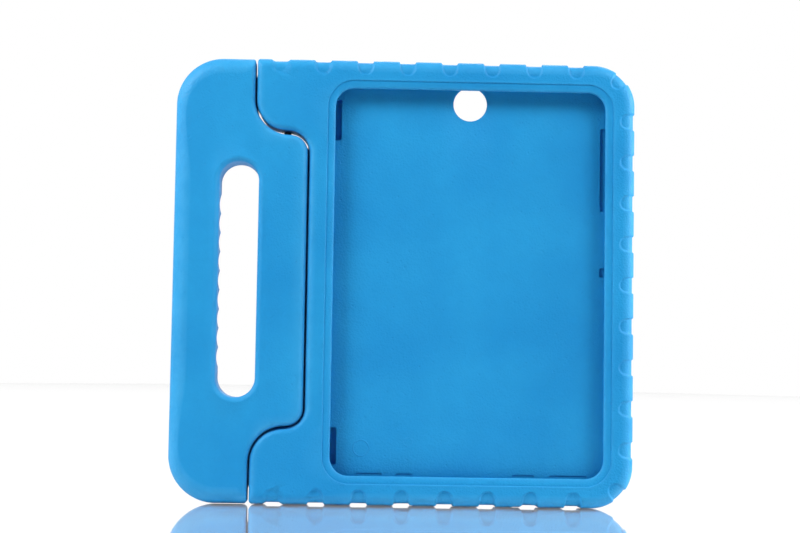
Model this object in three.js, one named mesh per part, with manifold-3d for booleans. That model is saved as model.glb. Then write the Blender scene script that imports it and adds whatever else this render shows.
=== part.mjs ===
// Children's tablet case with a fold-back carry handle, moulded in soft foam.
// Millimetres, +Z up. The case stands on its lower long edge, the tablet pocket faces -Y,
// the handle is on the -X side, and the origin is under the middle of the outline.

import * as THREE from 'three';
import { mergeVertices } from 'three/addons/utils/BufferGeometryUtils.js';
import Module from 'manifold-3d';

const wasm = await Module();
wasm.setup();

// Outline of the closed case.
const WIDTH = 274;
const HEIGHT = 264;
const THICKNESS = 26;
const BODY_CORNER = 25;
const HANDLE_CORNER = 28;

// Rounding of the outer edge, on the pocket side and on the back.
const BODY_EDGE_FRONT = 7;
const BODY_EDGE_BACK = 5;
const HANDLE_EDGE_FRONT = 9.5;
const HANDLE_EDGE_BACK = 7;

// Tablet that the pocket holds, and the pocket round it.
const TABLET_WIDTH = 169;
const TABLET_HEIGHT = 237.4;
const TABLET_CORNER = 12.5;
const TABLET_THICKNESS = 6.4;
const TABLET_PLAY = 0.5;
const POCKET_RIGHT_WALL = 13.5;
const LIP_REACH = 4.5;
const LIP_EDGE = 2.1;
const LIP_SLOPE = 1;
const LIP_STEP = 0.5;
const LIP_BAND = 4.6;
const LIP_CORNER = 11;

// Hole behind the tablet's rear camera.
const CAMERA_HOLE_RADIUS = 9.8;
const CAMERA_HOLE_FLARE = 3.5;
const CAMERA_HOLE_DROP = 11.6;

// Reliefs in the pocket wall and tunnels through the lower rim: heights above the lower edge
// on the two sides, places along X on the bottom.
const RELIEF_DEPTH = 4;
const RELIEFS_LEFT = [
  { from: 23.5, to: 45.5 },
  { from: 216.5, to: 241 },
];
const RELIEFS_RIGHT = [
  { from: 137, to: 142.5 },
  { from: 176.5, to: 226.5 },
];
const RELIEFS_BOTTOM = [
  { from: -26.5, to: -11 },
  { from: 88, to: 110.5 },
];
const HEADPHONE_TUNNEL = { at: 2, width: 9.4 };
const CHARGING_TUNNEL = { at: 72.6, width: 13 };
const TUNNEL_HEIGHT = 6;

// Grooves pressed round the outer edge.
const GROOVE_WIDTH = 8.4;
const GROOVE_DEPTH = 1.2;
const GROOVE_REACH = 9.2;
const GROOVE_FLARE = 1.1;
const GROOVE_PITCH = 25.2;
const GROOVE_END_MARGIN = 8.5;
const GROOVE_PITCH_SIDE = 24.4;

// Slot for the hand and the finger scallops on its grip side.
const GRIP_WIDTH = 27;
const SLOT_WIDTH = 23.2;
const SLOT_LENGTH = 139.4;
const SLOT_END_FLAT = 0.2;
const SLOT_EDGE_FRONT = 3.2;
const SLOT_EDGE_BACK = 5;
const SCALLOP_PITCH = 11.5;
const SCALLOP_COUNT = 9;
const SCALLOP_DEPTH = 1.3;
const SCALLOP_RIM = 7.5;

// Gap between handle and case: straight at the ends, an S at each hinge, straight behind the tongue.
const GAP = 1.2;
const GAP_END_X = -89.5;
const GAP_TONGUE_X = -57.6;
const GAP_EAR_HEIGHT = 45.3;
const GAP_TONGUE_RADIUS = 11;
const GAP_TIP_RADIUS = 2.5;
const GAP_EDGE_FRONT = 3.6;
const BODY_GAP_EDGE_BACK = 8;
const HANDLE_GAP_EDGE_BACK = 10;

// Hinge: two short pins, each in a bush in the case's ear and a bush in the handle's tongue.
const HINGE_X = -70.8;
const HINGE_Y = 3.5;
const HINGE_LENS = 1;
const HINGE_LENS_REACH = 13;
const PIN_RADIUS = 2.2;
const PIN_CLEARANCE = 0.3;
const BUSH_WALL = 1.3;
const BUSH_LENGTH = 22;
const BUSH_RECESS = 0.8;
const SEAT_CLEARANCE = 0.3;

// Facets.
const CORNER_STEPS = 8;
const EDGE_STEPS = 4;
const ROUND_STEPS = 24;
const TONGUE_STEPS = 10;
const EAR_STEPS = 12;
const SCALLOP_STEPS = 6;

// How far cutting shapes reach past the faces they cut, and past the outline.
const OVERCUT = 1;
const REACH_PAST = 6;

// Places that follow from the sizes.
const FRONT = -THICKNESS / 2;
const BACK = THICKNESS / 2;
const MIDDLE = HEIGHT / 2;
const LEFT = -WIDTH / 2;
const RIGHT = WIDTH / 2;
const CAVITY_FRONT = FRONT + LIP_STEP + LIP_SLOPE + LIP_EDGE;
const FLOOR = CAVITY_FRONT + TABLET_THICKNESS + TABLET_PLAY;
const CAVITY = {
  left: RIGHT - POCKET_RIGHT_WALL - TABLET_WIDTH - 2 * TABLET_PLAY,
  right: RIGHT - POCKET_RIGHT_WALL,
  bottom: MIDDLE - TABLET_HEIGHT / 2 - TABLET_PLAY,
  top: MIDDLE + TABLET_HEIGHT / 2 + TABLET_PLAY,
};
const GAP_EAR_RADIUS = GAP_TONGUE_X - GAP_TONGUE_RADIUS - GAP_END_X;
const GAP_TURN_Z = HEIGHT - GAP_EAR_HEIGHT;
const BUSH_BORE = PIN_RADIUS + PIN_CLEARANCE;
const BUSH_RADIUS = BUSH_BORE + BUSH_WALL;
const SEAT_RADIUS = BUSH_RADIUS + SEAT_CLEARANCE;

// Points of an arc in X and Z, both ends included, angles in degrees.
function arc(x, z, radius, from, to, steps) {
  return Array.from({ length: steps + 1 }, (_, k) => {
    const angle = THREE.MathUtils.degToRad(from + ((to - from) * k) / steps);
    return new THREE.Vector2(x + radius * Math.cos(angle), z + radius * Math.sin(angle));
  });
}

// Frame moved inwards by a distance on all four sides.
function inset(frame, by) {
  return {
    left: frame.left + by,
    right: frame.right - by,
    bottom: frame.bottom + by,
    top: frame.top - by,
  };
}

// Rectangle with round corners, anticlockwise seen from the front.
function roundRect({ left, right, bottom, top }, radius, steps = CORNER_STEPS) {
  return [
    ...arc(right - radius, bottom + radius, radius, -90, 0, steps),
    ...arc(right - radius, top - radius, radius, 0, 90, steps),
    ...arc(left + radius, top - radius, radius, 90, 180, steps),
    ...arc(left + radius, bottom + radius, radius, 180, 270, steps),
  ];
}

// Closed solid through matching outlines, each at its own depth from front to back.
function loft(sections) {
  const count = sections[0].ring.length;
  const positions = sections.flatMap(({ y, ring }) => ring.flatMap((point) => [point.x, y, point.y]));
  const indices = [];
  for (let level = 0; level < sections.length - 1; level += 1) {
    for (let i = 0; i < count; i += 1) {
      const a = level * count + i;
      const b = level * count + ((i + 1) % count);
      indices.push(a, a + count, b + count, a, b + count, b);
    }
  }
  const last = (sections.length - 1) * count;
  for (const [a, b, c] of THREE.ShapeUtils.triangulateShape(sections[0].ring, [])) {
    indices.push(a, b, c);
  }
  for (const [a, b, c] of THREE.ShapeUtils.triangulateShape(sections.at(-1).ring, [])) {
    indices.push(last + a, last + c, last + b);
  }
  const geometry = new THREE.BufferGeometry();
  geometry.setAttribute('position', new THREE.Float32BufferAttribute(positions, 3));
  geometry.setIndex(indices);
  return solid(geometry);
}

// Boolean solid of a closed three.js geometry.
function solid(geometry) {
  const bare = geometry.clone();
  bare.deleteAttribute('normal');
  bare.deleteAttribute('uv');
  const merged = mergeVertices(bare);
  return new wasm.Manifold(new wasm.Mesh({
    numProp: 3,
    vertProperties: new Float32Array(merged.attributes.position.array),
    triVerts: new Uint32Array(merged.index.array),
  }));
}

// Named mesh of a boolean solid.
function part(name, shape, material) {
  const { numProp, vertProperties, triVerts } = shape.getMesh();
  const geometry = new THREE.BufferGeometry();
  const buffer = new THREE.InterleavedBuffer(new Float32Array(vertProperties), numProp);
  geometry.setAttribute('position', new THREE.InterleavedBufferAttribute(buffer, 3, 0));
  geometry.setIndex(new THREE.BufferAttribute(new Uint32Array(triVerts), 1));
  const flat = geometry.toNonIndexed();
  flat.computeVertexNormals();
  const mesh = new THREE.Mesh(flat, material);
  mesh.name = name;
  return mesh;
}

// Depths through the thickness with the inset that rounds the front and back edges there.
function edgeProfile(front, back, frontRadius, backRadius) {
  const quarter = Array.from({ length: EDGE_STEPS + 1 }, (_, k) => (k * Math.PI) / (2 * EDGE_STEPS));
  const near = quarter.map((angle) => ({
    y: front + frontRadius * (1 - Math.cos(angle)),
    inset: frontRadius * (1 - Math.sin(angle)),
  }));
  const far = quarter.map((angle) => ({
    y: back - backRadius * (1 - Math.cos(angle)),
    inset: backRadius * (1 - Math.sin(angle)),
  }));
  return [...near, ...far.reverse()];
}

// Slab with round corners and rounded front and back edges. A skin thins it on every side.
function pillow(frame, corner, frontRadius, backRadius, skin = 0) {
  const profile = edgeProfile(FRONT + skin, BACK - skin, frontRadius - skin, backRadius - skin);
  return loft(profile.map((level) => ({
    y: level.y,
    ring: roundRect(inset(frame, skin + level.inset), corner - skin - level.inset),
  })));
}

// Cylinder along Y or Z, between two places on its axis.
function rod(axis, radius, from, to, a, b, endRadius = radius) {
  const cylinder = new THREE.CylinderGeometry(endRadius, radius, to - from, ROUND_STEPS);
  if (axis === 'z') {
    cylinder.rotateX(Math.PI / 2);
    cylinder.translate(a, b, (from + to) / 2);
  } else {
    cylinder.translate(a, (from + to) / 2, b);
  }
  return solid(cylinder);
}

function block(x, y, z) {
  const box = new THREE.BoxGeometry(x.to - x.from, y.to - y.from, z.to - z.from);
  box.translate((x.from + x.to) / 2, (y.from + y.to) / 2, (z.from + z.to) / 2);
  return solid(box);
}

// Centre line of the gap from the lower edge to the upper one, with the direction towards the case.
function gapLine() {
  const centreX = GAP_TONGUE_X - GAP_TONGUE_RADIUS;
  const turn = arc(centreX, GAP_TURN_Z - GAP_TONGUE_RADIUS, GAP_TONGUE_RADIUS, 0, 90, TONGUE_STEPS);
  const rise = arc(centreX, GAP_TURN_Z + GAP_EAR_RADIUS, GAP_EAR_RADIUS, 270, 180, EAR_STEPS).slice(1);
  const tip = arc(0, HEIGHT - GAP_TIP_RADIUS, GAP_TIP_RADIUS, 0, 90, EDGE_STEPS);
  const upper = [
    ...turn.map((point, k) => {
      const angle = (k * Math.PI) / (2 * TONGUE_STEPS);
      return { x: point.x, z: point.y, nx: Math.cos(angle), nz: Math.sin(angle) };
    }),
    ...rise.map((point, k) => {
      const angle = ((k + 1) * Math.PI) / (2 * EAR_STEPS);
      return { x: point.x, z: point.y, nx: Math.sin(angle), nz: Math.cos(angle) };
    }),
    ...tip.map((point) => ({ x: GAP_END_X, z: point.y, nx: 1, nz: 0 })),
    { x: GAP_END_X, z: HEIGHT + REACH_PAST, nx: 1, nz: 0 },
  ];
  const lower = upper.map(({ x, z, nx, nz }) => ({ x, z: HEIGHT - z, nx, nz: -nz })).reverse();
  return [...lower, ...upper];
}

// Widening of the gap where it runs out through the upper and lower edges.
function tipFlare(z) {
  const depth = Math.abs(z - MIDDLE) - (MIDDLE - GAP_TIP_RADIUS);
  const reach = THREE.MathUtils.clamp(depth, 0, GAP_TIP_RADIUS);
  return GAP_TIP_RADIUS - Math.sqrt(GAP_TIP_RADIUS ** 2 - reach ** 2);
}

// Extra room between ear and tongue round the pin.
function lens(x) {
  const share = THREE.MathUtils.clamp(Math.abs(x - HINGE_X) / HINGE_LENS_REACH, 0, 1);
  return (HINGE_LENS / 2) * (1 + Math.cos(Math.PI * share));
}

// Everything on the far side of the gap, flared at front and back so that the edge left is round.
function gapCutter(side, backRadius) {
  const line = gapLine();
  const profile = edgeProfile(FRONT, BACK, GAP_EDGE_FRONT, backRadius);
  const levels = [
    { y: FRONT - OVERCUT, inset: GAP_EDGE_FRONT },
    ...profile,
    { y: BACK + OVERCUT, inset: backRadius },
  ];
  const far = side === 'body' ? LEFT - REACH_PAST : RIGHT + REACH_PAST;
  return loft(levels.map((level) => {
    const flank = line.map(({ x, z, nx, nz }) => {
      const away = GAP / 2 + level.inset + tipFlare(z);
      const shift = side === 'body' ? away + lens(x) : -away;
      return new THREE.Vector2(x + nx * shift, z + nz * shift);
    });
    const top = flank.at(-1).y;
    const bottom = flank[0].y;
    const ring = side === 'body'
      ? [...flank, new THREE.Vector2(far, top), new THREE.Vector2(far, bottom)]
      : [...flank.reverse(), new THREE.Vector2(far, bottom), new THREE.Vector2(far, top)];
    return { y: level.y, ring };
  }));
}

// Pocket for the tablet: the cavity under the lip, then the lip's edge, slope and step.
function pocketCutter() {
  const opening = inset(CAVITY, LIP_REACH);
  const band = inset(opening, -LIP_BAND);
  const bandRing = roundRect(band, LIP_CORNER + LIP_BAND);
  const openingRing = roundRect(opening, LIP_CORNER);
  const cavityRing = roundRect(CAVITY, TABLET_CORNER + TABLET_PLAY);
  const mouth = loft([
    { y: FRONT - OVERCUT, ring: bandRing },
    { y: FRONT + LIP_STEP, ring: bandRing },
    { y: FRONT + LIP_STEP + LIP_SLOPE, ring: openingRing },
    { y: FLOOR - OVERCUT, ring: openingRing },
  ]);
  const cavity = loft([
    { y: CAVITY_FRONT, ring: cavityRing },
    { y: FLOOR, ring: cavityRing },
  ]);
  return mouth.add(cavity);
}

// Reliefs for buttons and speakers, and the two tunnels for plugs.
function reliefs() {
  const depth = { from: CAVITY_FRONT, to: FLOOR };
  const left = { from: CAVITY.left - RELIEF_DEPTH, to: CAVITY.left + OVERCUT };
  const right = { from: CAVITY.right - OVERCUT, to: CAVITY.right + RELIEF_DEPTH };
  const bottom = { from: CAVITY.bottom - RELIEF_DEPTH, to: CAVITY.bottom + OVERCUT };
  const through = { from: -REACH_PAST, to: CAVITY.bottom + OVERCUT };
  const middle = (CAVITY_FRONT + FLOOR) / 2;
  const tunnelDepth = { from: middle - TUNNEL_HEIGHT / 2, to: middle + TUNNEL_HEIGHT / 2 };
  const tunnel = ({ at, width }) => block({ from: at - width / 2, to: at + width / 2 }, tunnelDepth, through);
  const cuts = [
    ...RELIEFS_LEFT.map((span) => block(left, depth, span)),
    ...RELIEFS_RIGHT.map((span) => block(right, depth, span)),
    ...RELIEFS_BOTTOM.map((span) => block(span, depth, bottom)),
    tunnel(HEADPHONE_TUNNEL),
    tunnel(CHARGING_TUNNEL),
  ];
  return cuts.reduce((sum, cut) => sum.add(cut));
}

// Plan of one groove, pointing out along +X from the edge at the origin, then turned and placed.
function grooveRing(wider, x, z, direction) {
  const half = GROOVE_WIDTH / 2 + wider;
  const ring = [
    ...arc(half - wider - GROOVE_REACH, 0, half, 90, 270, CORNER_STEPS),
    new THREE.Vector2(-GROOVE_DEPTH, -half),
    new THREE.Vector2(0, -half - GROOVE_FLARE),
    new THREE.Vector2(REACH_PAST, -half - GROOVE_FLARE),
    new THREE.Vector2(REACH_PAST, half + GROOVE_FLARE),
    new THREE.Vector2(0, half + GROOVE_FLARE),
    new THREE.Vector2(-GROOVE_DEPTH, half),
  ];
  return ring.map((point) => point.rotateAround(new THREE.Vector2(), direction).add(new THREE.Vector2(x, z)));
}

// Where the grooves lie: along the top and bottom, up the side and one on each corner.
function groovePlaces() {
  const places = [];
  const first = GAP_END_X + GAP / 2 + GROOVE_END_MARGIN + GROOVE_WIDTH / 2 + GROOVE_FLARE;
  for (let x = first; x < RIGHT - BODY_CORNER; x += GROOVE_PITCH) {
    places.push([x, HEIGHT, Math.PI / 2], [x, 0, -Math.PI / 2]);
  }
  const perHalf = Math.floor((MIDDLE - BODY_CORNER) / GROOVE_PITCH_SIDE);
  for (let k = -perHalf; k <= perHalf; k += 1) {
    places.push([RIGHT, MIDDLE + k * GROOVE_PITCH_SIDE, 0]);
  }
  const diagonal = BODY_CORNER * Math.SQRT1_2;
  const centre = RIGHT - BODY_CORNER;
  places.push([centre + diagonal, HEIGHT - BODY_CORNER + diagonal, Math.PI / 4]);
  places.push([centre + diagonal, BODY_CORNER - diagonal, -Math.PI / 4]);
  return places;
}

function grooves(frame) {
  const slope = GROOVE_FLARE / 2;
  const slabs = groovePlaces().map(([x, z, direction]) => loft([
    { y: FRONT - OVERCUT, ring: grooveRing(slope, x, z, direction) },
    { y: FRONT, ring: grooveRing(slope, x, z, direction) },
    { y: FRONT + GROOVE_DEPTH, ring: grooveRing(-slope, x, z, direction) },
    { y: BACK - GROOVE_DEPTH, ring: grooveRing(-slope, x, z, direction) },
    { y: BACK, ring: grooveRing(slope, x, z, direction) },
    { y: BACK + OVERCUT, ring: grooveRing(slope, x, z, direction) },
  ]));
  const core = pillow(frame, BODY_CORNER, BODY_EDGE_FRONT, BODY_EDGE_BACK, GROOVE_DEPTH);
  return wasm.Manifold.union(slabs).subtract(core);
}

// The upper hinge's pieces along Z. The lower hinge is the same mirrored about mid-height.
const CENTRE_RISE = GAP_TURN_Z + GAP_EAR_RADIUS
  - Math.sqrt(GAP_EAR_RADIUS ** 2 - (HINGE_X - GAP_TONGUE_X + GAP_TONGUE_RADIUS) ** 2);
const EAR_FACE = CENTRE_RISE + GAP / 2 + HINGE_LENS;
const TONGUE_FACE = CENTRE_RISE - GAP / 2;
const EAR_BUSH = { from: EAR_FACE + BUSH_RECESS, to: EAR_FACE + BUSH_RECESS + BUSH_LENGTH };
const TONGUE_BUSH = { from: TONGUE_FACE - BUSH_RECESS - BUSH_LENGTH, to: TONGUE_FACE - BUSH_RECESS };
const PIN = { from: TONGUE_BUSH.from + SEAT_CLEARANCE, to: EAR_BUSH.to - SEAT_CLEARANCE };

function mirrored({ from, to }) {
  return { from: HEIGHT - to, to: HEIGHT - from };
}

function hingeRod(radius, span) {
  return rod('z', radius, span.from, span.to, HINGE_X, HINGE_Y);
}

function bush(span) {
  const bore = { from: span.from - OVERCUT, to: span.to + OVERCUT };
  return hingeRod(BUSH_RADIUS, span).subtract(hingeRod(BUSH_BORE, bore));
}

// Seats for the bushes, opening towards the gap.
function seats(span, mouth) {
  const seat = {
    from: Math.min(span.from - SEAT_CLEARANCE, mouth),
    to: Math.max(span.to + SEAT_CLEARANCE, mouth),
  };
  return hingeRod(SEAT_RADIUS, seat).add(hingeRod(SEAT_RADIUS, mirrored(seat)));
}

function caseBody() {
  const frame = { left: LEFT - REACH_PAST, right: RIGHT, bottom: 0, top: HEIGHT };
  const cameraX = (CAVITY.left + CAVITY.right) / 2;
  const cameraZ = CAVITY.top - CAMERA_HOLE_DROP;
  const flareRadius = CAMERA_HOLE_RADIUS + CAMERA_HOLE_FLARE;
  const from = FLOOR - OVERCUT;
  const to = BACK + OVERCUT;
  const cameraHole = rod('y', CAMERA_HOLE_RADIUS, from, to, cameraX, cameraZ, flareRadius);
  return pillow(frame, BODY_CORNER, BODY_EDGE_FRONT, BODY_EDGE_BACK)
    .subtract(gapCutter('body', BODY_GAP_EDGE_BACK))
    .subtract(grooves(frame))
    .subtract(pocketCutter())
    .subtract(reliefs())
    .subtract(cameraHole)
    .subtract(seats(EAR_BUSH, TONGUE_FACE));
}

// Slot through the handle, flared at front and back.
function slotCutter() {
  const left = LEFT + GRIP_WIDTH;
  const frame = {
    left,
    right: left + SLOT_WIDTH,
    bottom: MIDDLE - SLOT_LENGTH / 2,
    top: MIDDLE + SLOT_LENGTH / 2,
  };
  const levels = [
    { y: FRONT - OVERCUT, inset: SLOT_EDGE_FRONT },
    ...edgeProfile(FRONT, BACK, SLOT_EDGE_FRONT, SLOT_EDGE_BACK),
    { y: BACK + OVERCUT, inset: SLOT_EDGE_BACK },
  ];
  return loft(levels.map((level) => ({
    y: level.y,
    ring: roundRect(inset(frame, -level.inset), (SLOT_WIDTH - SLOT_END_FLAT) / 2 + level.inset),
  })));
}

// Scallops for the fingers, cut into the slot's outer wall behind a plain front rim.
function scallops() {
  const halfPitch = SCALLOP_PITCH / 2;
  const radius = (halfPitch ** 2 + SCALLOP_DEPTH ** 2) / (2 * SCALLOP_DEPTH);
  const wall = LEFT + GRIP_WIDTH;
  const spread = THREE.MathUtils.radToDeg(Math.asin(halfPitch / radius));
  const cuts = Array.from({ length: SCALLOP_COUNT }, (_, k) => {
    const z = MIDDLE + (k - (SCALLOP_COUNT - 1) / 2) * SCALLOP_PITCH;
    const bowl = arc(wall - SCALLOP_DEPTH + radius, z, radius, 180 - spread, 180 + spread, SCALLOP_STEPS);
    const ring = [
      ...bowl,
      new THREE.Vector2(wall + OVERCUT, z - halfPitch),
      new THREE.Vector2(wall + OVERCUT, z + halfPitch),
    ];
    return loft([
      { y: FRONT + SCALLOP_RIM, ring },
      { y: BACK + OVERCUT, ring },
    ]);
  });
  return wasm.Manifold.union(cuts);
}

function handle() {
  const frame = { left: LEFT, right: RIGHT, bottom: 0, top: HEIGHT };
  return pillow(frame, HANDLE_CORNER, HANDLE_EDGE_FRONT, HANDLE_EDGE_BACK)
    .subtract(gapCutter('handle', HANDLE_GAP_EDGE_BACK))
    .subtract(slotCutter())
    .subtract(scallops())
    .subtract(seats(TONGUE_BUSH, EAR_FACE));
}

function foam() {
  return new THREE.MeshStandardMaterial({ color: 0x2e9ddb, roughness: 0.62, metalness: 0 });
}

function blackPlastic() {
  return new THREE.MeshStandardMaterial({ color: 0x10181a, roughness: 0.35, metalness: 0 });
}

const tabletCase = new THREE.Group();
tabletCase.add(
  part('case_body', caseBody(), foam()),
  part('handle', handle(), foam()),
  part('hinge_pin_top', hingeRod(PIN_RADIUS, PIN), blackPlastic()),
  part('hinge_pin_bottom', hingeRod(PIN_RADIUS, mirrored(PIN)), blackPlastic()),
  part('ear_bush_top', bush(EAR_BUSH), blackPlastic()),
  part('ear_bush_bottom', bush(mirrored(EAR_BUSH)), blackPlastic()),
  part('tongue_bush_top', bush(TONGUE_BUSH), blackPlastic()),
  part('tongue_bush_bottom', bush(mirrored(TONGUE_BUSH)), blackPlastic()),
);

export default tabletCase;
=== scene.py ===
import math

import bmesh
import bpy
import numpy as np
from mathutils import Matrix, Vector


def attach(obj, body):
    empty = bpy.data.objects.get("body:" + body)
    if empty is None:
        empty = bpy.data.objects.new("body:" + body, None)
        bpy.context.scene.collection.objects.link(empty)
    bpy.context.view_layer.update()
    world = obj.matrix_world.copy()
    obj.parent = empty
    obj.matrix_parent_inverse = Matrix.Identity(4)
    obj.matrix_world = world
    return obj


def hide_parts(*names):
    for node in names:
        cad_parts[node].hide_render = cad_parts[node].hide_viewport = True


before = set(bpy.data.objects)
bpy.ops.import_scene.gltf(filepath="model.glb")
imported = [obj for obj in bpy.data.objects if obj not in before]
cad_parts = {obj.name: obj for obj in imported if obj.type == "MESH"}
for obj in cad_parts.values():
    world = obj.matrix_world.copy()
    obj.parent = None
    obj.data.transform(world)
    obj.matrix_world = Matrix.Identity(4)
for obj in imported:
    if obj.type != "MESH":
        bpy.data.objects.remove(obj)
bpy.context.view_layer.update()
scene = bpy.context.scene
scene.view_settings.view_transform = "Standard"

# The camera stands a metre in front of the case, a little left of its middle and low down.
# It is turned slightly to the right and up, and leans by less than a degree.
CAMERA_PLACE = (-0.0300, -1.0, 0.0709)
CAMERA_YAW = math.radians(1.596)
CAMERA_PITCH = math.radians(4.041)
CAMERA_ROLL = math.radians(0.900)
CAMERA_LENS = 75.48
CAMERA_SENSOR = 36.0

forward = Vector((
    math.sin(CAMERA_YAW) * math.cos(CAMERA_PITCH),
    math.cos(CAMERA_YAW) * math.cos(CAMERA_PITCH),
    math.sin(CAMERA_PITCH),
))
level_right = Vector((math.cos(CAMERA_YAW), -math.sin(CAMERA_YAW), 0.0))
level_up = level_right.cross(forward)
right = math.cos(CAMERA_ROLL) * level_right + math.sin(CAMERA_ROLL) * level_up
up = math.cos(CAMERA_ROLL) * level_up - math.sin(CAMERA_ROLL) * level_right
camera_data = bpy.data.cameras.new("camera")
camera_data.lens = CAMERA_LENS
camera_data.sensor_width = CAMERA_SENSOR
camera = bpy.data.objects.new("camera", camera_data)
turn = Matrix((right, up, -forward)).transposed().to_4x4()
camera.matrix_world = Matrix.Translation(CAMERA_PLACE) @ turn
scene.collection.objects.link(camera)
scene.camera = camera

# Case: the foam frame that the tablet presses into, one moulding in closed-cell foam.
# The mould rounds its rims, presses short grooves round its outer edge and leaves a thin
# lip over the pocket. Two ears on its left reach past the handle's tongue and hold the pins.
FRONT = -13.0
BACK = 13.0
MIDDLE = 132.0
HEIGHT = 264.0
CASE_EDGES = {"left": -143.0, "right": 137.0, "bottom": 0.0, "top": HEIGHT}
CASE_CORNER = 25.0
CASE_RIM_FRONT = 7.0
CASE_RIM_BACK = 5.0
GAP = 1.2
GAP_END = -89.5
GAP_TONGUE = -57.6
GAP_SHOULDER = 218.7
TONGUE_RADIUS = 11.0
EAR_RADIUS = 20.9
TIP_RADIUS = 2.5
GAP_RIM_FRONT = 3.6
CASE_GAP_RIM_BACK = 8.0
PIN_PLACE = (-70.8, 3.5)
PIN_LENS = 1.6
PIN_LENS_LOWER = 0.6
PIN_LENS_REACH = 13.0
TONGUE_POINTS = 40
EAR_POINTS = 60
CORNER_POINTS = 60
TIP_POINTS = 12
FLANK_STEP = 0.4
FINE_STEP = 0.1
PATH_STEP = 0.5


def arc(x, z, radius, start, end, steps):
    """Points of an arc: the centre plus the radius times the cosine and sine of angles in degrees."""
    angle = np.radians(np.linspace(start, end, steps))
    return np.stack([x + radius * np.cos(angle), z + radius * np.sin(angle)], axis=1)


def gap_centre():
    """Middle line of the gap from bottom to top: straight, a shoulder of two arcs, straight again."""
    centre = GAP_TONGUE - TONGUE_RADIUS
    upper = np.concatenate([
        [[GAP_TONGUE, MIDDLE]],
        arc(centre, GAP_SHOULDER - TONGUE_RADIUS, TONGUE_RADIUS, 0, 90, TONGUE_POINTS),
        arc(centre, GAP_SHOULDER + EAR_RADIUS, EAR_RADIUS, 270, 180, EAR_POINTS)[1:],
        [[GAP_END, HEIGHT - TIP_RADIUS]],
    ])
    lower = upper[:0:-1] * (1, -1) + (0, HEIGHT)
    return np.concatenate([lower, upper])


def evenly(line, step, closed=False):
    """The same line with points at equal steps of its own length."""
    if closed:
        line = np.concatenate([line, line[:1]])
    lengths = np.concatenate([[0], np.cumsum(np.hypot(*np.diff(line, axis=0).T))])
    count = max(2, int(round(lengths[-1] / step)))
    at = np.linspace(0, lengths[-1], count + 1)[: count if closed else count + 1]
    return np.stack([np.interp(at, lengths, line[:, 0]), np.interp(at, lengths, line[:, 1])], axis=1)


def pin_lens(x, z):
    """Cosine hollow that widens the gap on the case's side, deepest beside the pin."""
    share = np.clip(np.abs(x - PIN_PLACE[0]) / PIN_LENS_REACH, 0, 1)
    return np.where(z > MIDDLE, PIN_LENS, PIN_LENS_LOWER) / 2 * (1 + np.cos(np.pi * share))


def gap_flank(side):
    """One side of the gap: its middle line moved along its normal by half the gap. On the
    case's side a shallow cosine hollow round each pin is added."""
    line = evenly(gap_centre(), FLANK_STEP)
    along = np.gradient(line, axis=0)
    along /= np.hypot(*along.T)[:, None]
    towards_case = np.stack([along[:, 1], -along[:, 0]], axis=1)
    if side == "handle":
        return line - towards_case * GAP / 2
    return line + towards_case * (GAP / 2 + pin_lens(*line.T))[:, None]


def tip(x, side, top):
    """Quarter circle that rounds the outline where the gap runs out through an edge."""
    centre_x = x + TIP_RADIUS * side
    if top:
        return arc(centre_x, HEIGHT - TIP_RADIUS, TIP_RADIUS, 90, 90 + 90 * side, TIP_POINTS)
    return arc(centre_x, TIP_RADIUS, TIP_RADIUS, 270 - 90 * side, 270, TIP_POINTS)


def case_outline():
    """Outline anticlockwise from the lower tip: bottom, two round corners, top, tip, gap flank."""
    flank = gap_flank("case")[::-1]
    r, c = CASE_EDGES["right"], CASE_CORNER
    gap_x = GAP_END + GAP / 2
    return np.concatenate([
        tip(gap_x, 1, False),
        arc(r - c, c, c, -90, 0, CORNER_POINTS),
        arc(r - c, HEIGHT - c, c, 0, 90, CORNER_POINTS),
        tip(gap_x, 1, True),
        flank[1:-1],
    ])


def ray_paths(line, target, rows=14, rounds=350):
    """Paths from each point of a closed line to its partner on the ring inside it, which never
    cross: straight at first, then relaxed by Winslow's equation, which weighs the mean of the
    neighbours on either side and of those in front and behind by each other's spacing."""
    grid = line + (target - line) * np.linspace(0, 1, rows + 1)[:, None, None]
    for _ in range(rounds):
        after, before = np.roll(grid, -1, axis=1), np.roll(grid, 1, axis=1)
        along = (after - before)[1:-1] / 2
        inward = (grid[2:] - grid[:-2]) / 2
        twist = (after[2:] - before[2:] - after[:-2] + before[:-2]) / 4
        a = (inward**2).sum(-1, keepdims=True)
        b = (along * inward).sum(-1, keepdims=True)
        c = (along**2).sum(-1, keepdims=True)
        aside, ahead = (after + before)[1:-1], grid[2:] + grid[:-2]
        grid[1:-1] = (a * aside + c * ahead - 2 * b * twist) / (2 * (a + c))
    return grid


def spaced_paths(line, wanted, onto):
    """Paths inwards from points spaced as wanted round a closed line. The wanted spacing is a
    function of the place, and the points are equal shares of the sum of one over it."""
    fine = evenly(line, FINE_STEP, closed=True)
    share = np.cumsum(FINE_STEP / wanted(*fine.T))
    count = int(math.ceil(share[-1]))
    at = np.arange(count) * share[-1] / count
    place = np.interp(at, share, np.arange(len(fine))) / len(fine)
    even = evenly(line, PATH_STEP, closed=True)
    paths = ray_paths(even, onto(even))
    paths = np.concatenate([paths, paths[:, :1]], axis=1)
    index = place * len(even)
    low = index.astype(int)
    picked = paths[:, low] + (paths[:, low + 1] - paths[:, low]) * (index - low)[:, None]
    picked[0] = np.stack([np.interp(at, share, fine[:, 0]), np.interp(at, share, fine[:, 1])], axis=1)
    return picked


def path_lengths(paths):
    """Length of each path up to each of its points."""
    legs = np.hypot(*np.moveaxis(np.diff(paths, axis=0), -1, 0))
    return np.concatenate([np.zeros((1, legs.shape[1])), np.cumsum(legs, axis=0)])


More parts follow.
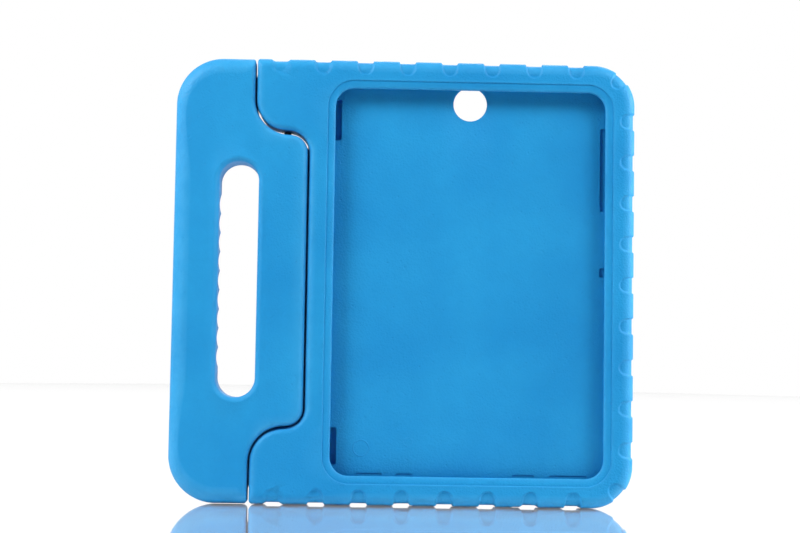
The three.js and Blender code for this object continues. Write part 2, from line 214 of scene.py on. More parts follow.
def walk(paths, distance):
    """Places at a distance along each path, measured from the outline."""
    lengths = path_lengths(paths)
    distance = np.minimum(distance, lengths[-1])
    leg = np.clip((lengths <= distance).sum(axis=0) - 1, 0, len(paths) - 2)
    column = np.arange(paths.shape[1])
    share = (distance - lengths[leg, column]) / (lengths[leg + 1, column] - lengths[leg, column])
    return paths[leg, column] + (paths[leg + 1, column] - paths[leg, column]) * share[:, None]


def depth_inside(x, z, edges, corner):
    """How far a point lies inside a rectangle with round corners, and the outward direction
    there: the corner radius less the distance past the corner centres."""
    centre_x, half_x = (edges["left"] + edges["right"]) / 2, (edges["right"] - edges["left"]) / 2
    centre_z, half_z = (edges["bottom"] + edges["top"]) / 2, (edges["top"] - edges["bottom"]) / 2
    past_x = np.abs(x - centre_x) - (half_x - corner)
    past_z = np.abs(z - centre_z) - (half_z - corner)
    far_x, far_z = np.maximum(past_x, 0), np.maximum(past_z, 0)
    length = np.hypot(far_x, far_z)
    inside = corner - length - np.minimum(np.maximum(past_x, past_z), 0)
    nearer_x = past_x > past_z
    out_x = np.where(length > 0, far_x / np.maximum(length, 1e-9), nearer_x) * np.sign(x - centre_x)
    out_z = np.where(length > 0, far_z / np.maximum(length, 1e-9), ~nearer_x) * np.sign(z - centre_z)
    return inside, out_x, out_z


def distance_to_line(x, z, line):
    """Shortest distance from each point to an open line of straight pieces."""
    best = np.full(x.shape, 1e9)
    for start, end in zip(line[:-1], line[1:]):
        step = end - start
        share = np.clip(((x - start[0]) * step[0] + (z - start[1]) * step[1]) / (step @ step), 0, 1)
        best = np.minimum(best, np.hypot(x - start[0] - share * step[0], z - start[1] - share * step[1]))
    return best


def rounding(inside, radius):
    """Height lost at a rim with a quarter-circle rounding, from the distance inside its edge."""
    reach = np.clip(radius - inside, 0, radius)
    return radius - np.sqrt(np.maximum(radius**2 - reach**2, 0))


def larger(a, b, blend=0.7):
    """The larger of two heights, with the valley between them filled over a short blend."""
    share = np.clip(0.5 + (a - b) / (2 * blend), 0, 1)
    return b + (a - b) * share + blend * share * (1 - share)


def smooth_step(value):
    """Zero below 0, one above 1, and three squares less two cubes between."""
    value = np.clip(value, 0, 1)
    return value * value * (3 - 2 * value)


GROOVE_WIDTH = 8.4
GROOVE_DEPTH = 1.2
GROOVE_DEPTH_SIDE = 0.9
GROOVE_REACH = 9.2
GROOVE_FLARE = 1.1
GROOVE_RAMP = 0.9
GROOVE_RAMP_EAR = 2.4
GROOVE_RAMP_CHANGE = 6.0
GROOVE_PITCH = 25.2
GROOVE_MARGIN = 13.8
GROOVE_FIRST = GAP_END + GAP / 2 + GROOVE_MARGIN
GROOVE_PITCH_SIDE = 24.4
GROOVES_EACH_WAY = 4


def groove_places():
    """Place, outward angle and depth of each groove: along both long edges, up the side, where
    they are shallower, and one on each corner."""
    right, corner = CASE_EDGES["right"], CASE_CORNER
    along = np.arange(GROOVE_FIRST, right - corner, GROOVE_PITCH)
    side = MIDDLE + GROOVE_PITCH_SIDE * np.arange(-GROOVES_EACH_WAY, GROOVES_EACH_WAY + 1)
    diagonal = corner * math.sqrt(0.5)
    places = [(x, HEIGHT, math.pi / 2, GROOVE_DEPTH) for x in along]
    places += [(x, 0.0, -math.pi / 2, GROOVE_DEPTH) for x in along]
    places += [(right, z, 0.0, GROOVE_DEPTH_SIDE) for z in side]
    corner_x, low_z = right - corner + diagonal, corner - diagonal
    places += [(corner_x, HEIGHT - corner + diagonal, math.pi / 4, GROOVE_DEPTH_SIDE)]
    places += [(corner_x, low_z, -math.pi / 4, GROOVE_DEPTH_SIDE)]
    return places


def groove_depth(x, z, wall):
    """Depth of the grooves at a place, zero outside them, with a ramp between that is softer on
    the ears: each is a U whose round end points inwards, and which is wider on the wall."""
    deepest = np.zeros(x.shape)
    half = GROOVE_WIDTH / 2
    softer = smooth_step((GAP_TONGUE - x) / GROOVE_RAMP_CHANGE)
    ramp = GROOVE_RAMP + (GROOVE_RAMP_EAR - GROOVE_RAMP) * softer
    for place_x, place_z, angle, depth in groove_places():
        outward = (x - place_x) * math.cos(angle) + (z - place_z) * math.sin(angle)
        aside = np.abs((z - place_z) * math.cos(angle) - (x - place_x) * math.sin(angle))
        past_end = np.minimum(outward - (half - GROOVE_REACH), 0)
        outside = np.hypot(past_end, aside) - half - wall * GROOVE_FLARE / 2
        deepest = np.maximum(deepest, depth * (1 - smooth_step(outside / ramp + 0.5)))
    return deepest


SPACING = {
    "gap": 1.3, "edges": 2.1, "ears": 0.7, "corners": 0.9, "tips": 0.5, "grooves": 0.48,
    "relief ends": 0.3,
}
GAP_ZONE = GAP_TONGUE + 6
LEFT_RELIEF_ZONE = GAP_TONGUE + 9
EDGE_ZONE = 1.0
TIP_ZONE = 7.0
GROOVE_ZONE = 6.2
RELIEF_END_ZONE = 0.8


def case_spacing(x, z):
    """Wanted spacing: fine at the grooves, the tips and the reliefs' ends, coarser elsewhere."""
    right = CASE_EDGES["right"]
    from_middle = np.abs(z - MIDDLE)
    spacing = np.where(x < GAP_ZONE, SPACING["gap"], SPACING["edges"])
    spacing = np.where((x < GAP_ZONE) & (from_middle > MIDDLE - EDGE_ZONE), SPACING["ears"], spacing)
    for place_x, place_z, _, _ in groove_places():
        near = np.hypot(x - place_x, z - place_z) < GROOVE_ZONE
        spacing = np.where(near, SPACING["grooves"], spacing)
    near_corner = (x > right - CASE_CORNER) & (from_middle > MIDDLE - CASE_CORNER)
    spacing = np.where(near_corner, np.minimum(spacing, SPACING["corners"]), spacing)
    near_tip = (x < GAP_END + TIP_ZONE) & (from_middle > MIDDLE - TIP_ZONE)
    spacing = np.where(near_tip, SPACING["tips"], spacing)
    sides = {
        "left": (z, x < LEFT_RELIEF_ZONE),
        "right": (z, x > right - EDGE_ZONE),
        "bottom": (x, z < EDGE_ZONE),
    }
    for side, (along, on_side) in sides.items():
        for end in relief_ends(side):
            near_end = on_side & (np.abs(along - end) < RELIEF_END_ZONE)
            spacing = np.where(near_end, SPACING["relief ends"], spacing)
    return spacing


# Sizes of the pocket: the lip's step, slope and edge, and the deeper cavity that grips the tablet.
CAVITY = {"left": -46.5, "right": 123.5, "bottom": 12.8, "top": 251.2}
OPENING = {"left": -42.0, "right": 119.0, "bottom": 17.3, "top": 246.7}
CAVITY_CORNER = 13.0
OPENING_CORNER = 11.0
FLOOR = -2.5
RELIEF_DEPTH = 4.0
RELIEF_RAMP = 0.5
RELIEF_FACING = 0.9
RELIEFS = {
    "left": [(23.5, 45.5), (216.5, 241.0)],
    "right": [(137.0, 142.5), (176.5, 226.5)],
    "bottom": [(-26.5, -11.0), (88.0, 110.5)],
}
CAMERA_HOLE = (38.5, 239.6)
BACK_FRAME = {"left": -47.3, "right": 126.7, "bottom": 10.3, "top": 253.7}
BACK_FRAME_CORNER = 14.7


def relief_ends(side):
    """Both ends of every relief on one side of the pocket."""
    return [end for span in RELIEFS[side] for end in span]


def onto_frame(points, edges, corner):
    """Nearest place on a rectangle with round corners to points outside it: the nearest point
    between its corner centres, and the direction from there."""
    low = np.array([edges["left"] + corner, edges["bottom"] + corner])
    high = np.array([edges["right"] - corner, edges["top"] - corner])
    core = np.clip(points, low, high)
    away = points - core
    return core, away / np.hypot(*away.T)[:, None]


def grid_mesh(name, rows, attributes):
    """Mesh of a closed grid: every row is one loop of points, and the last row joins the first.
    Faces are turned to point outwards, from the sign of the volume they enclose."""
    grid = np.array(rows)
    levels, count = grid.shape[:2]
    level, place = np.meshgrid(np.arange(levels), np.arange(count), indexing="ij")
    next_level, next_place = (level + 1) % levels, (place + 1) % count
    quads = np.stack([
        level * count + place,
        next_level * count + place,
        next_level * count + next_place,
        level * count + next_place,
    ], axis=-1).reshape(-1, 4)
    points = grid.reshape(-1, 3) / 1000
    a, b, c, d = (points[quads[:, k]] for k in range(4))
    volume = np.einsum("ij,ij->i", a, np.cross(b, c) + np.cross(c, d)).sum()
    if volume < 0:
        quads = quads[:, ::-1]
    mesh = bpy.data.meshes.new(name)
    mesh.from_pydata(points, [], quads)
    for attribute, values in attributes.items():
        layer = mesh.attributes.new(attribute, "FLOAT", "POINT")
        layer.data.foreach_set("value", np.array(values, np.float32).ravel())
    mesh.polygons.foreach_set("use_smooth", np.ones(len(mesh.polygons), bool))
    mesh.update()
    return mesh


def stack(plan, y):
    """Points in space from places in plan and a depth, which may be one number or a row."""
    return np.stack([plan[:, 0], np.broadcast_to(y, len(plan)), plan[:, 1]], axis=1)


class Shell:
    """Rows of a grid with the share of rim paling that goes with each: rubbing wear, and partly a painted
    highlight.
    """

    def __init__(self):
        self.rows = []
        self.wear_and_highlight = []

    def add(self, points, wear_and_highlight=0.0):
        self.rows.append(points)
        self.wear_and_highlight.append(np.broadcast_to(wear_and_highlight, len(points)))


RIM_STEPS = 9
RIM_SPREAD = 5
BAND_WIDTH = 10.1
BAND_SPREAD = 7
BAND_LIMIT = 0.94
FRONT_BAND_STEPS = 6
FRONT_SHARES = (0.12, 0.3, 0.6)
BACK_BAND_STEPS = 5
BACK_SHARES = (0.3, 1.0)
FLANK_SKIP = 3
LIP_START = 5.1
ON_EDGE = 0.6
# Paling of the outer walls: wear, and partly a painted highlight.
WALL_WEAR_AND_HIGHLIGHT = 0.1


def ring_round(places, edges, corner, outside):
    """Ring at a distance outside a round-cornered rectangle, at the points nearest to places."""
    core, away = onto_frame(places, edges, corner)
    return core + away * (corner + outside)


def reach(paths, edges, corner, outside):
    """Distance along each path at which it comes that near to a round-cornered rectangle."""
    near = depth_inside(paths[..., 0], paths[..., 1], edges, corner)[0] + outside
    lengths = path_lengths(paths)
    first = np.argmax(near >= -1e-6, axis=0)
    first = np.where(near.max(axis=0) < -1e-6, len(paths) - 1, np.maximum(first, 1))
    column = np.arange(paths.shape[1])
    start, end = near[first - 1, column], near[first, column]
    share = np.clip(-start / np.maximum(end - start, 1e-9), 0, 1)
    return lengths[first - 1, column] + (lengths[first, column] - lengths[first - 1, column]) * share


paths = spaced_paths(
    case_outline(), case_spacing, lambda places: ring_round(places, OPENING, OPENING_CORNER, LIP_START)
)
outline = paths[0]
on_gap = depth_inside(*outline.T, CASE_EDGES, CASE_CORNER)[0] > ON_EDGE
flank_line = np.concatenate([
    tip(GAP_END + GAP / 2, 1, False)[::-1],
    gap_flank("case")[1:-1:FLANK_SKIP],
    tip(GAP_END + GAP / 2, 1, True)[::-1],
])


def case_heights(plan, side):
    """Height lost to the rims at a place in plan, on the front or the back: the larger of the
    outer rim's rounding and the gap rim's."""
    front, back = (CASE_RIM_FRONT, GAP_RIM_FRONT), (CASE_RIM_BACK, CASE_GAP_RIM_BACK)
    outer, gap = front if side == "front" else back
    inside, out_x, out_z = depth_inside(*plan.T, CASE_EDGES, CASE_CORNER)
    inside = np.maximum(inside, 0)
    lost = larger(rounding(inside, outer), rounding(distance_to_line(*plan.T, flank_line), gap))
    return lost, inside, out_x, out_z, outer


def case_surface(plan, side, height=None):
    """Skin of the case at places in plan. Each groove sinks it by the groove's depth along the
    surface's own normal, which turns from sideways at the wall to straight in on the face."""
    lost, inside, out_x, out_z, outer = case_heights(plan, side)
    sideways = np.clip((outer - inside) / outer, 0, 1) if height is None else np.ones(len(plan))
    straight = np.sqrt(1 - sideways**2)
    face, sign = (FRONT, 1) if side == "front" else (BACK, -1)
    y = face + sign * lost if height is None else height
    sunk = groove_depth(*plan.T, sideways)
    return np.stack([
        plan[:, 0] - out_x * sideways * sunk,
        y + sign * straight * sunk * (height is None),
        plan[:, 1] - out_z * sideways * sunk,
    ], axis=1)


def running_mean(row, spread):
    """Mean of each value of a closed row and as many as spread on either side of it."""
    window = 2 * spread + 1
    wrapped = np.concatenate([row[-spread:], row, row[:spread]])
    return np.convolve(wrapped, np.ones(window) / window, "valid")


def rim_steps(gap_side, radius_outer, radius_gap):
    """Distances along the paths at which a rim is cut, close together where it is steep."""
    radius = running_mean(np.where(gap_side, radius_gap, radius_outer), RIM_SPREAD)
    angle = np.linspace(0, math.pi / 2, RIM_STEPS)
    return [radius * (1 - math.cos(a)) for a in angle]


def rim_wear_and_highlight(step, steps):
    """Paling across a rim, partly rubbing and partly a painted highlight: the square of a sine that is
    largest halfway over it.
    """
    return math.sin(math.pi * min(1.0, (step + 1) / steps)) ** 2


def face_steps(rim, width, end, band_count, shares):
    """Distances along the paths past the rim: evenly over the band, then by shares to the end."""
    last, width = rim[-1], np.minimum(width, BAND_LIMIT * end)
    band = [last + (width - last) * k / band_count for k in range(1, band_count + 1)]
    return rim + band + [width + (end - width) * share for share in shares]


# The two walls of the gap swell a little, one in front of the other, so that no light passes
# between tongue and case. At the gap's open ends the walls run straight.
BELLY = 0.7
BELLY_SHOULDER = 0.75
BELLY_HALF_DEPTH = 3.6
BELLY_PLACE = -5.2
BELLY_REACH = 125.0
BELLY_FADE = 6.0
SHOULDER_CHANGE = 10.0
STRAIGHT_FROM = 0.86
STRAIGHT_CHANGE = 0.12
WALL_SHARES = (0.14, 0.28, 0.42, 0.57, 0.71, 0.86)


def swollen(row, on_wall, place, filled):
    """Wall row moved outwards by a cosine bump in depth, faded out towards the gap's ends. The
    lower shoulder also fills a share of the hollow beside the pin, and the upper doesn't swell."""
    along = np.roll(row, -1, axis=0) - np.roll(row, 1, axis=0)
    normal = np.stack([along[:, 2], np.zeros(len(row)), -along[:, 0]], axis=1)
    normal /= np.linalg.norm(normal, axis=1)[:, None]
    bump = 0.5 + 0.5 * np.cos(np.pi * np.clip((row[:, 1] - place) / BELLY_HALF_DEPTH, -1, 1))
    ends = smooth_step((BELLY_REACH - np.abs(row[:, 2] - MIDDLE)) / BELLY_FADE)
    lower = smooth_step((MIDDLE - row[:, 2]) / SHOULDER_CHANGE)
    shoulder = lower * (BELLY_SHOULDER + filled * pin_lens(row[:, 0], row[:, 2]))
    straight = smooth_step((np.abs(normal[:, 0]) - STRAIGHT_FROM) / STRAIGHT_CHANGE)
    swell = shoulder + (BELLY - shoulder) * straight
    return row + normal * (swell * bump * ends * on_wall)[:, None]


case = Shell()
band_width = np.where(on_gap, BAND_WIDTH, reach(paths, CASE_EDGES, CASE_CORNER, -BAND_WIDTH))
band_width = running_mean(band_width, BAND_SPREAD)
front_steps = face_steps(
    rim_steps(on_gap, CASE_RIM_FRONT, GAP_RIM_FRONT), band_width, path_lengths(paths)[-1],
    FRONT_BAND_STEPS, FRONT_SHARES,
)
front_edge = FRONT + case_heights(outline, "front")[0]
back_edge = BACK - case_heights(outline, "back")[0]
for share in WALL_SHARES:
    wall_y = back_edge + (front_edge - back_edge) * share
    case.add(swollen(case_surface(outline, "front", height=wall_y), on_gap, BELLY_PLACE, 1.0), WALL_WEAR_AND_HIGHLIGHT)
for k, distance in enumerate(front_steps):
    case.add(case_surface(walk(paths, distance), "front"), rim_wear_and_highlight(k, RIM_STEPS + 2))
core, away = onto_frame(paths[-1], OPENING, OPENING_CORNER)


def opening_ring(outside):
    """Ring at a distance outside the pocket's opening."""
    return core + away * (OPENING_CORNER + outside)


# Lip: a small step with a crease at its foot, a slope, a rolled edge and the flat underside. The last
# number of each row pales the foam there: wear, and partly a painted highlight.
LIP_PROFILE = [
    (LIP_START, 0.00, 0.3), (4.80, 0.05, 0.6), (4.62, 0.22, 0.6), (4.55, 0.50, 0.1), (4.45, 0.72, 0.0),
    (4.20, 0.76, 0.0), (3.80, 0.66, 0.0), (2.60, 0.84, 0.0), (1.40, 1.08, 0.2), (0.80, 1.24, 0.5),
    (0.38, 1.50, 0.8), (0.10, 1.90, 0.6), (0.00, 2.40, 0.2), (0.00, 3.10, 0.0), (0.12, 3.42, 0.0),
    (0.45, 3.60, 0.0),
]
for outside, down, wear_and_highlight in LIP_PROFILE:
    case.add(stack(opening_ring(outside), FRONT + down), wear_and_highlight)

# Cavity: the wall under the lip with its reliefs, and the flat floor with a round camera hole.
half_open = np.array([OPENING["right"] - OPENING["left"], OPENING["top"] - OPENING["bottom"]]) / 2
half_cavity = np.array([CAVITY["right"] - CAVITY["left"], CAVITY["top"] - CAVITY["bottom"]]) / 2
pocket_centre = np.array([(CAVITY["left"] + CAVITY["right"]) / 2, MIDDLE])
cavity_scale = half_cavity - CAVITY_CORNER
cavity_core = pocket_centre + (core - pocket_centre) * cavity_scale / (half_open - OPENING_CORNER)
cavity_wall = cavity_core + away * CAVITY_CORNER


def relief_share():
    """One where a relief sinks the cavity's wall, zero elsewhere, with a short ramp between."""
    share = np.zeros(len(cavity_wall))
    sides = {"left": (1, -away[:, 0]), "right": (1, away[:, 0]), "bottom": (0, -away[:, 1])}
    for side, (axis, facing) in sides.items():
        for low, high in RELIEFS[side]:
            at = cavity_wall[:, axis]
            rising = smooth_step((at - low) / RELIEF_RAMP + 0.5)
            falling = smooth_step((high - at) / RELIEF_RAMP + 0.5)
            share = np.maximum(share, rising * falling * (facing > RELIEF_FACING))
    return share


relief = RELIEF_DEPTH * relief_share()
CAVITY_PROFILE = [
    (0.50, -9.40), (0.12, -9.28), (0.00, -8.90), (0.00, -6.20), (0.00, -3.90), (0.15, -3.20),
    (0.50, -2.72), (1.20, -2.50),
]
for inset, y in CAVITY_PROFILE:
    case.add(stack(cavity_wall + away * (relief - inset)[:, None], y))
FLOOR_INSET = 2.0
floor_ring = cavity_wall - away * FLOOR_INSET
case.add(stack(floor_ring, FLOOR))


def hole_ring(towards, radius):
    """Circle round the camera hole, each point in the direction of its partner further out."""
    direction = towards - np.array(CAMERA_HOLE)
    return np.array(CAMERA_HOLE) + direction / np.hypot(*direction.T)[:, None] * radius


back_reach = reach(paths, BACK_FRAME, BACK_FRAME_CORNER, 0.0)
back_ring = walk(paths, back_reach)
HOLE_PROFILE = [
    (10.50, -2.50), (10.18, -2.42), (10.02, -2.10), (10.60, 1.20), (11.90, 7.00), (13.00, 12.40),
]
# The hole's wall and the last number of each mouth row pale the foam: wear, and partly a painted
# highlight.
HOLE_MOUTH = [(13.20, 12.80, 0.5), (13.55, 13.00, 0.3)]
HOLE_WEAR_AND_HIGHLIGHT = 0.2
FLOOR_SHARES = (0.3, 0.6, 0.85)
BACK_FRAME_SHARES = (0.3, 0.7)
hole_front = hole_ring(floor_ring, HOLE_PROFILE[0][0])
for share in FLOOR_SHARES:
    case.add(stack(floor_ring + (hole_front - floor_ring) * share, FLOOR))
for radius, y in HOLE_PROFILE:
    share = (y - FLOOR) / (BACK - FLOOR)
    partner = floor_ring + (back_ring - floor_ring) * share
    case.add(stack(hole_ring(partner, radius), y), HOLE_WEAR_AND_HIGHLIGHT)
for radius, y, wear_and_highlight in HOLE_MOUTH:
    hole_back = hole_ring(back_ring, radius)
    case.add(stack(hole_back, y), wear_and_highlight)
for share in BACK_FRAME_SHARES:
    case.add(stack(hole_back + (back_ring - hole_back) * share, BACK))
back_steps = face_steps(
    rim_steps(on_gap, CASE_RIM_BACK, CASE_GAP_RIM_BACK), band_width, back_reach,
    BACK_BAND_STEPS, BACK_SHARES,
)
for k, distance in reversed(list(enumerate(back_steps))):
    case.add(case_surface(walk(paths, distance), "back"), rim_wear_and_highlight(k, RIM_STEPS + 2))

# Cutters for the two plug tunnels under the pocket, for the seats of the hinge bushes, and for
# the trenches in the pocket's floor that show past the lip as the photo's dark bars.
TUNNELS = [(2.0, 9.4), (72.6, 13.0)]
TUNNEL_Y = -5.95
TUNNEL_HALF_HEIGHT = 3.0
TUNNEL_FLARE = [(-2.0, 1.5), (0.0, 0.9), (1.2, 0.25), (2.4, 0.0), (14.5, 0.0)]
EAR_SEAT = (215.6, 245.0)
SEAT_RADIUS = 4.1
SEAT_POINTS = 40
TUNNEL_POINTS = 12
TRENCH_POINTS = 6
SHARP_ANGLE = math.radians(50)
TRENCH_CORNER = 0.8
TRENCH_ABOVE = 3.5
TRENCH_LEFT = {"from": -46.0, "to": -38.3, "depth": 5.0}
TRENCH_RIGHT = {"from": 117.0, "to": 123.0, "depth": 1.5}
TRENCH_BOTTOM = {"from": 13.3, "to": 18.8, "depth": 0.5}


def prism(sections, name):
    """Closed mesh through loops of points, with a fan at each end."""
    grid = np.array(sections)
    levels, count = grid.shape[:2]
    points = np.concatenate([grid.reshape(-1, 3), grid[[0, -1]].mean(axis=1)]) / 1000
    ring = np.arange(count)
    after = (ring + 1) % count
    faces = [
        np.stack([low + ring, low + after, low + count + after, low + count + ring], 1)
        for low in range(0, count * (levels - 1), count)
    ]
    hub, top = levels * count, count * (levels - 1)
    first = np.stack([np.full(count, hub), after, ring], 1)
    last = np.stack([np.full(count, hub + 1), ring + top, after + top], 1)
    mesh = bpy.data.meshes.new(name)
    mesh.from_pydata(points, [], np.concatenate(faces).tolist() + first.tolist() + last.tolist())
    return mesh


def tunnel_cutter(at, width):
    """Stadium along Z, wider at its mouth in the case's lower edge."""
    half_x, half_y = width / 2 - TUNNEL_HALF_HEIGHT, TUNNEL_HALF_HEIGHT
    loop = np.concatenate([
        arc(half_x, 0, half_y, -90, 90, TUNNEL_POINTS),
        arc(-half_x, 0, half_y, 90, 270, TUNNEL_POINTS),
    ])
    sections = []
    for z, wider in TUNNEL_FLARE:
        grown = loop * (1 + wider / half_y * np.array([half_y / (half_x + half_y), 1]))
        section = [at + grown[:, 0], TUNNEL_Y + grown[:, 1], np.full(len(loop), z)]
        sections.append(np.stack(section, axis=1))
    return prism(sections, "tunnel_cutter")


def seat_cutter(low, high):
    """Cylinder along Z round a hinge pin."""
    loop = arc(*PIN_PLACE, SEAT_RADIUS, 0, 360, SEAT_POINTS + 1)[:-1]
    sections = [np.stack([*loop.T, np.full(len(loop), z)], axis=1) for z in (low, high)]
    return prism(sections, "seat_cutter")


def round_loop(edges, corner):
    """Loop round a rectangle, with a quarter circle at each corner."""
    left, right = edges["left"] + corner, edges["right"] - corner
    bottom, top = edges["bottom"] + corner, edges["top"] - corner
    return np.concatenate([
        arc(right, bottom, corner, -90, 0, TRENCH_POINTS),
        arc(right, top, corner, 0, 90, TRENCH_POINTS),
        arc(left, top, corner, 90, 180, TRENCH_POINTS),
        arc(left, bottom, corner, 180, 270, TRENCH_POINTS),
    ])


def trench_cutter(left, right, bottom, top, depth):
    """Round-cornered block that sinks the pocket's floor where a relief or tunnel meets it."""
    edges = {"left": left, "right": right, "bottom": bottom, "top": top}
    loop = round_loop(edges, TRENCH_CORNER)
    return prism([stack(loop, y) for y in (FLOOR - TRENCH_ABOVE, FLOOR + depth)], "trench_cutter")


def side_trenches(sizes, spans):
    """Trenches along one side wall of the pocket, one for each span of heights."""
    return [trench_cutter(sizes["from"], sizes["to"], *span, sizes["depth"]) for span in spans]


def bottom_trenches(sizes, spans):
    """Trenches along the pocket's lower wall, one for each span of places along it."""
    return [trench_cutter(*span, sizes["from"], sizes["to"], sizes["depth"]) for span in spans]


def cut(piece, cutters):
    """Cuts closed shapes out of a piece with one exact Boolean, and keeps the result as its mesh."""
    joined = bmesh.new()
    for cutter in cutters:
        joined.from_mesh(cutter)
    bmesh.ops.recalc_face_normals(joined, faces=joined.faces)
    mesh = bpy.data.meshes.new("cutters")
    joined.to_mesh(mesh)
    joined.free()
    tool = bpy.data.objects.new("cutters", mesh)
    scene.collection.objects.link(tool)
    boolean = piece.modifiers.new("cut", "BOOLEAN")
    boolean.operation = "DIFFERENCE"
    boolean.solver = "EXACT"
    boolean.object = tool
    bpy.context.view_layer.update()
    evaluated = piece.evaluated_get(bpy.context.evaluated_depsgraph_get())
    result = bpy.data.meshes.new_from_object(evaluated)
    piece.modifiers.remove(boolean)
    piece.data = result
    bpy.data.objects.remove(tool)
    result.set_sharp_from_angle(angle=SHARP_ANGLE)


# Foam skin: dyed all through, with the fine pebbled skin that the hot mould leaves, faint
# cloudy variation, and rims painted a little paler and made smoother: rubbing wear, and partly a painted
# highlight.
FOAM_BLUE = (0.0138, 0.306, 0.650, 1)
FOAM_DEEP = (0.0085, 0.262, 0.600, 1)
# Paler blue for the rims: rubbed foam, and partly a painted highlight.
FOAM_RUBBED_AND_HIGHLIGHT = (0.0750, 0.430, 0.790, 1)
FOAM_SHEEN = (0.55, 0.85, 1.0, 1)
FOAM_RELIEF = 0.00018
CLOUD_SCALE = 16
PATCH_SCALE = 75
PIT_SCALE = 150
MOTTLE_SCALE = 170
PEBBLE_SCALE = 820
GRIT_SCALE = 2600


def node_group(name, inputs, outputs):
    """Empty shader group whose sockets are given as names with their types."""
    group = bpy.data.node_groups.new(name, "ShaderNodeTree")
    for socket, kind in inputs.items():
        group.interface.new_socket(socket, in_out="INPUT", socket_type="NodeSocket" + kind)
    for socket, kind in outputs.items():
        group.interface.new_socket(socket, in_out="OUTPUT", socket_type="NodeSocket" + kind)
    given, result = group.nodes.new("NodeGroupInput"), group.nodes.new("NodeGroupOutput")
    return group, given.outputs, result.inputs


def noise(group, vector, scale, detail, rough=0.5):
    """Noise texture over a vector, with its scale per metre."""
    node = group.nodes.new("ShaderNodeTexNoise")
    node.inputs["Scale"].default_value = scale
    node.inputs["Detail"].default_value = detail
    node.inputs["Roughness"].default_value = rough
    group.links.new(vector, node.inputs["Vector"])
    return node.outputs["Fac"]


def cells(group, vector, scale):
    """Distance to the nearest of scattered points, with its scale per metre."""
    node = group.nodes.new("ShaderNodeTexVoronoi")
    node.inputs["Scale"].default_value = scale
    group.links.new(vector, node.inputs["Vector"])
    return node.outputs["Distance"]


def remap(group, value, low, high, to_low=0.0, to_high=1.0):
    """Value carried from one range to another and held at its ends."""
    node = group.nodes.new("ShaderNodeMapRange")
    for socket, number in zip(("From Min", "From Max", "To Min", "To Max"), (low, high, to_low, to_high)):
        node.inputs[socket].default_value = number
    group.links.new(value, node.inputs["Value"])
    return node.outputs["Result"]


def maths(group, operation, first, second):
    """Arithmetic node on two values, each a socket or a number."""
    node = group.nodes.new("ShaderNodeMath")
    node.operation = operation
    for socket, value in zip(node.inputs, (first, second)):
        if isinstance(value, (int, float)):
            socket.default_value = value
        else:
            group.links.new(value, socket)
    return node.outputs["Value"]


def blend(group, share, first, second):
    """Colour between two others by a share."""
    node = group.nodes.new("ShaderNodeMix")
    node.data_type = "RGBA"
    group.links.new(share, node.inputs[0])
    for socket, colour in ((node.inputs[6], first), (node.inputs[7], second)):
        if isinstance(colour, tuple):
            socket.default_value = colour
        else:
            group.links.new(colour, socket)
    return node.outputs[2]


def foam_group():
    """Colour, roughness and height of the moulded skin. Broad noise clouds the blue, finer noise
    mottles it, smooth cells raise the pebbles, and the rim paling attribute times noise pales the rims:
    rubbing wear, and partly a painted highlight."""
    group, given, result = node_group(
        "foam_skin", {"Wear and highlight": "Float"}, {"Color": "Color", "Roughness": "Float", "Height": "Float"}
    )
    place = group.nodes.new("ShaderNodeTexCoord").outputs["Object"]
    cloud = remap(group, noise(group, place, CLOUD_SCALE, 2), 0.36, 0.64)
    mottle = noise(group, place, MOTTLE_SCALE, 3, 0.6)
    grit = noise(group, place, GRIT_SCALE, 1)
    pebble = cells(group, place, PEBBLE_SCALE)
    pit = remap(group, cells(group, place, PIT_SCALE), 0.055, 0.12, 1.0, 0.0)
    patchy = remap(group, noise(group, place, PATCH_SCALE, 3, 0.65), 0.35, 0.7)
    # Rim paling, broken up by patchy noise: rubbing wear, and partly a painted highlight.
    rubbed_and_highlight = maths(group, "MULTIPLY", given["Wear and highlight"], remap(group, patchy, 0.0, 1.0, 0.45, 1.0))
    colour = blend(group, cloud, FOAM_DEEP, FOAM_BLUE)
    colour = blend(group, remap(group, mottle, 0.3, 0.7, 0.0, 0.22), colour, FOAM_DEEP)
    colour = blend(group, maths(group, "MULTIPLY", rubbed_and_highlight, 0.45), colour, FOAM_RUBBED_AND_HIGHLIGHT)
    colour = blend(group, maths(group, "MULTIPLY", pit, 0.25), colour, FOAM_DEEP)
    group.links.new(colour, result["Color"])
    rough = remap(group, mottle, 0.3, 0.7, 0.50, 0.60)
    smoother = maths(group, "MULTIPLY", rubbed_and_highlight, 0.1)
    group.links.new(maths(group, "SUBTRACT", rough, smoother), result["Roughness"])
    pebbles, grains = maths(group, "MULTIPLY", pebble, 0.8), maths(group, "MULTIPLY", grit, 0.35)
    height = maths(group, "ADD", pebbles, grains)
    height = maths(group, "SUBTRACT", height, maths(group, "MULTIPLY", pit, 0.8))
    group.links.new(height, result["Height"])
    return group


def skin_material(name, group, attribute, depth):
    """Principled material fed by a group's colour, roughness and height."""
    material = bpy.data.materials.new(name)
    material.use_nodes = True
    nodes, links = material.node_tree.nodes, material.node_tree.links
    skin = nodes.new("ShaderNodeGroup")
    skin.node_tree = group
    if attribute:
        reader = nodes.new("ShaderNodeAttribute")
        reader.attribute_name = attribute
        links.new(reader.outputs["Fac"], skin.inputs["Wear and highlight"])
    bump = nodes.new("ShaderNodeBump")
    bump.inputs["Strength"].default_value = 1.0
    bump.inputs["Distance"].default_value = depth
    links.new(skin.outputs["Height"], bump.inputs["Height"])
    shader = nodes["Principled BSDF"]
    links.new(skin.outputs["Color"], shader.inputs["Base Color"])
    links.new(skin.outputs["Roughness"], shader.inputs["Roughness"])
    links.new(bump.outputs["Normal"], shader.inputs["Normal"])
    return material, shader


